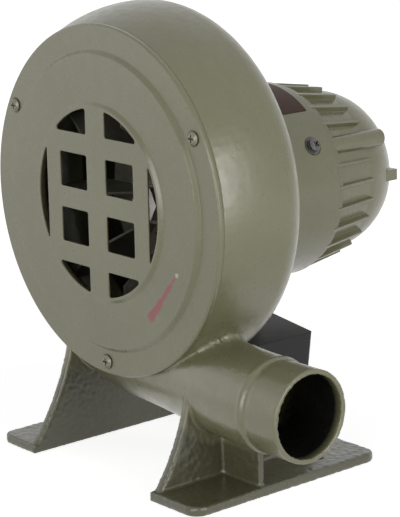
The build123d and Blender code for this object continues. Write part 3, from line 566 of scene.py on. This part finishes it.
def moulding(name, low, high, rough, grain=0.25):
    """Moulded plastic with a fine spark-eroded grain."""
    s = Shader(name)
    fine = s.noise(900.0, 2.0, 0.5)
    slow = s.noise(25.0, 3.0)
    s.colour(s.ramp(slow, [(0.3, low), (0.7, high)]))
    s.rough(s.span(slow, 0.3, 0.7, rough - 0.04, rough + 0.06))
    s.normal(s.bump(fine, grain, 0.00015, s.soft_edges(0.0009)))
    s.set(Specular_IOR_Level=0.3)
    return s


def foil(name):
    """The nameplate: bronze foil with a darker band across it and nothing written on it."""
    s = Shader(name)
    right, back, up = from_centre(s)
    low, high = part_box("nameplate")
    depth = s.span(back, (low.y - cover_centre.y) * 1000, (high.y - cover_centre.y) * 1000)
    fine = s.noise(500.0, 3.0)
    bronze = s.ramp(fine, [(0.3, (0.034, 0.014, 0.009)), (0.7, (0.055, 0.024, 0.015))])
    band = s.maths("MULTIPLY", s.span(depth, 0.30, 0.33), s.span(depth, 0.62, 0.59))
    s.colour(s.mixed(band, bronze, (0.010, 0.007, 0.005)))
    s.rough(s.span(fine, 0.3, 0.7, 0.45, 0.6))
    s.set(Metallic=0.2, Specular_IOR_Level=0.25)
    return s


# Colours

enamel_dark = (0.152, 0.149, 0.080)
enamel_light = (0.180, 0.177, 0.101)
enamel_dusty = (0.136, 0.133, 0.069)
streak_red = (0.25, 0.035, 0.04)
chip_pale = (0.45, 0.43, 0.36)
# Painted shade colours: near black for the bore's and the drum's insides, dark olive for the low feet
# and webs.
bore_painted_shade = (0.006, 0.006, 0.005)
foot_painted_shade = (0.056, 0.055, 0.030)
drum_painted_shade = (0.012, 0.012, 0.010)

# For each look: how it is made, its name, its darker and its lighter colour, its roughness and
# what else it needs, and the nodes that have it.
looks = [
    (painted_metal, "dull_zinc", (0.15, 0.145, 0.10), (0.24, 0.235, 0.18),
     0.42, (0.6,), ["cover_screws"]),
    (painted_metal, "dark_steel", (0.085, 0.085, 0.08), (0.15, 0.15, 0.145),
     0.38, (0.8,), ["side_washers", "side_screw"]),
    (metal, "zinc", (0.42, 0.41, 0.38), (0.62, 0.61, 0.57),
     0.34, (), ["shell_screws", "bell_screws", "lid_screws", "neck_screws", "impeller_washer",
                "impeller_nut", "capacitor_clamp"]),
    (metal, "ground_steel", (0.55, 0.55, 0.55), (0.68, 0.68, 0.68),
     0.22, (), ["shaft", "front_bearing_outer", "front_bearing_inner", "front_bearing_balls",
                "rear_bearing_outer", "rear_bearing_inner", "rear_bearing_balls", "wave_washer"]),
    (metal, "laminated", (0.26, 0.26, 0.27), (0.38, 0.38, 0.39),
     0.45, (), ["stator_core", "rotor_core"]),
    (metal, "lacquered_copper", (0.42, 0.16, 0.06), (0.62, 0.27, 0.11),
     0.35, (), ["stator_windings"]),
    (painted_metal, "impeller_sheet", (0.13, 0.127, 0.095), (0.19, 0.186, 0.145),
     0.6, (0.0,), ["impeller_hub", "impeller_plate", "impeller_blades", "impeller_rivets"]),
    (moulding, "black_plastic", (0.007, 0.006, 0.0065), (0.011, 0.010, 0.0105),
     0.42, (), ["switch_box_base", "switch_box_lid", "switch_body"]),
    (moulding, "black_gloss", (0.010, 0.010, 0.011), (0.016, 0.016, 0.017),
     0.22, (0.08,), ["switch_rocker", "cable_gland", "gland_nut"]),
    (moulding, "grey_can", (0.55, 0.55, 0.53), (0.66, 0.66, 0.64),
     0.35, (), ["capacitor"]),
    (moulding, "cream_plastic", (0.66, 0.64, 0.58), (0.75, 0.73, 0.67),
     0.4, (), ["terminal_block"]),
    (moulding, "lead_skin", (0.04, 0.04, 0.04), (0.06, 0.06, 0.06),
     0.5, (), ["motor_leads"]),
]


def dress(node_names, made):
    for name in node_names:
        mesh = nodes[name].data
        mesh.materials.clear()
        mesh.materials.append(made.material)


def set_materials():
    cover_enamel = enamel("enamel_cover", 0.10, 0.28, red_streak)
    dress(["front_cover"], cover_enamel)
    cover_sheet.data.materials.append(cover_enamel.material)
    # The housing's enamel carries painted shade in the bore, on the low feet and webs, and in the
    # drum's inside.
    housing_enamel = enamel("enamel_housing", 0.16, 0.30, paint_inner_and_low_shade)
    dress(["volute_housing"], housing_enamel)
    casting.data.materials.append(housing_enamel.material)
    dress(["motor_shell", "end_bell"], enamel("enamel_motor", 0.12, 0.30))
    dress(["nameplate"], foil("bronze"))
    for make, name, low, high, rough, more, node_names in looks:
        dress(node_names, make(name, low, high, rough, *more))


scene.view_settings.view_transform = "Standard"
set_camera()
set_world()
set_floor()
set_lights()
casting = make_casting()
cover_sheet = make_thin_cover()
set_materials()
